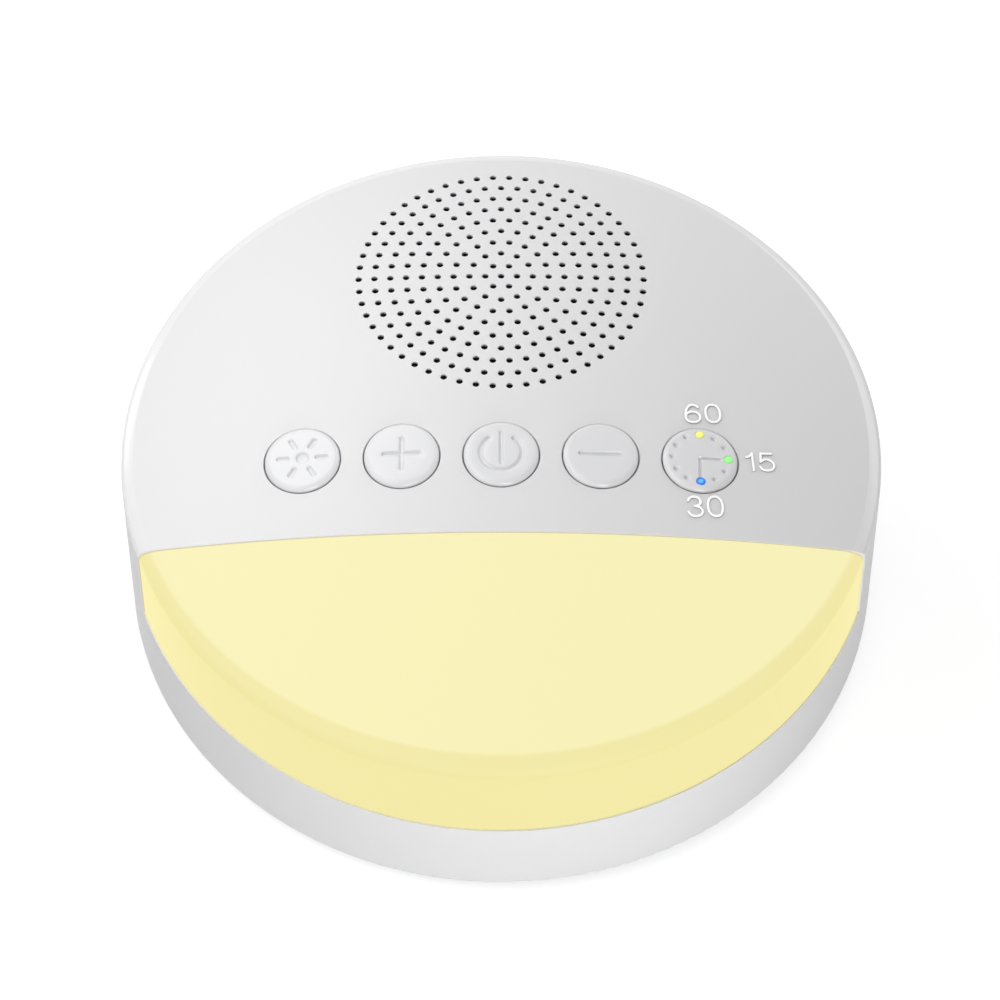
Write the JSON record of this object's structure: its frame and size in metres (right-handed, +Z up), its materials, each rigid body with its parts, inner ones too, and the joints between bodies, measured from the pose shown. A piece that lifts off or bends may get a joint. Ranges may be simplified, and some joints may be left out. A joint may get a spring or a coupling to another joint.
{
  "type": "white noise sound machine",
  "caption": "Round domed white noise sound machine with a ring-pattern speaker grille, a row of push buttons and a pale yellow night light lens.",
  "frame": {"origin": "centre of the case's footprint, on the surface that the feet stand on", "axes": "+Z up, -Y towards the night light lens at the front, +X to the right seen from the front"},
  "size_m": [0.115, 0.115, 0.0398],
  "materials": {
    "case_white": "moulded ABS, satin gloss",
    "button_white": "moulded ABS, satin gloss",
    "lens_yellow": "milky diffuser polycarbonate",
    "black_cloth": "woven dust cloth",
    "black_plastic": "moulded nylon",
    "light_yellow": "tinted clear acrylic",
    "light_green": "tinted clear acrylic",
    "light_blue": "tinted clear acrylic",
    "board_green": "glass fibre board with solder mask",
    "board_white": "glass fibre board with white solder mask",
    "lamp_white": "lamp package with phosphor",
    "reflector_white": "moulded white polypropylene",
    "steel": "zinc plated",
    "frame_black": "pressed steel, black coated",
    "foam_black": "closed cell foam",
    "rubber_black": "butyl rubber",
    "cone_paper": "pressed paper, black",
    "copper": "copper",
    "spider_cloth": "resin-set cotton",
    "ferrite": "sintered ferrite",
    "can_aluminium": "drawn can",
    "socket_ivory": "moulded nylon",
    "plated_shell": "nickel plated steel shell",
    "battery_wrap": "shrink wrap over a lithium pouch",
    "wire_red": "PVC insulation",
    "wire_grey": "PVC insulation",
    "rubber_grey": "moulded TPE"
  },
  "bodies": {
    "case": {"base_tray": "case_white", "top_cover": "case_white", "night_light_lens": "lens_yellow", "grille_cloth": "black_cloth", "tact_switches": "black_plastic", "button_board": "board_green", "indicator_leds": "lamp_white", "button_board_screws": "steel", "speaker_frame": "frame_black", "speaker_gasket": "foam_black", "speaker_surround": "rubber_black", "speaker_spider": "spider_cloth", "speaker_top_plate": "steel", "speaker_magnet": "ferrite", "speaker_yoke": "steel", "speaker_terminals": "copper", "speaker_screws": "steel", "light_board": "board_white", "light_board_lamps": "lamp_white", "light_reflector": "reflector_white", "light_board_screws": "steel", "main_board": "board_green", "board_chips": "black_plastic", "board_capacitors": "can_aluminium", "wire_sockets": "socket_ivory", "usb_socket": "plated_shell", "headphone_jack": "black_plastic", "main_board_screws": "steel", "battery": "battery_wrap", "battery_pad": "foam_black", "battery_leads": "wire_red", "speaker_leads": "wire_red", "light_leads": "wire_grey", "button_leads": "wire_grey", "case_screws": "steel", "rubber_feet": "rubber_grey"},
    "brightness_key": {"brightness_button": "button_white", "brightness_plunger": "black_plastic"},
    "volume_up_key": {"volume_up_button": "button_white", "volume_up_plunger": "black_plastic"},
    "power_key": {"power_button": "button_white", "power_plunger": "black_plastic"},
    "volume_down_key": {"volume_down_button": "button_white", "volume_down_plunger": "black_plastic"},
    "timer_key": {"timer_button": "button_white", "timer_plunger": "black_plastic", "timer_light_yellow": "light_yellow", "timer_light_green": "light_green", "timer_light_blue": "light_blue"},
    "speaker_diaphragm": {"speaker_cone": "cone_paper", "speaker_dust_cap": "cone_paper", "voice_coil": "copper"}
  },
  "joints": [
    {"name": "brightness_press", "type": "slide", "parent": "case", "child": "brightness_key", "axis": [0, 0, -1], "range_m": [0, 0.0005], "stiffness_N_per_m": 3200},
    {"name": "volume_up_press", "type": "slide", "parent": "case", "child": "volume_up_key", "axis": [0, 0, -1], "range_m": [0, 0.0005], "stiffness_N_per_m": 3200},
    {"name": "power_press", "type": "slide", "parent": "case", "child": "power_key", "axis": [0, 0, -1], "range_m": [0, 0.0005], "stiffness_N_per_m": 3200},
    {"name": "volume_down_press", "type": "slide", "parent": "case", "child": "volume_down_key", "axis": [0, 0, -1], "range_m": [0, 0.0005], "stiffness_N_per_m": 3200},
    {"name": "timer_press", "type": "slide", "parent": "case", "child": "timer_key", "axis": [0, 0, -1], "range_m": [0, 0.0005], "stiffness_N_per_m": 3200},
    {"name": "cone_throw", "type": "slide", "parent": "case", "child": "speaker_diaphragm", "axis": [0, 0, 1], "range_m": [-0.0008, 0.0008], "stiffness_N_per_m": 2500, "deforming": ["speaker_surround", "speaker_spider"]}
  ]
}
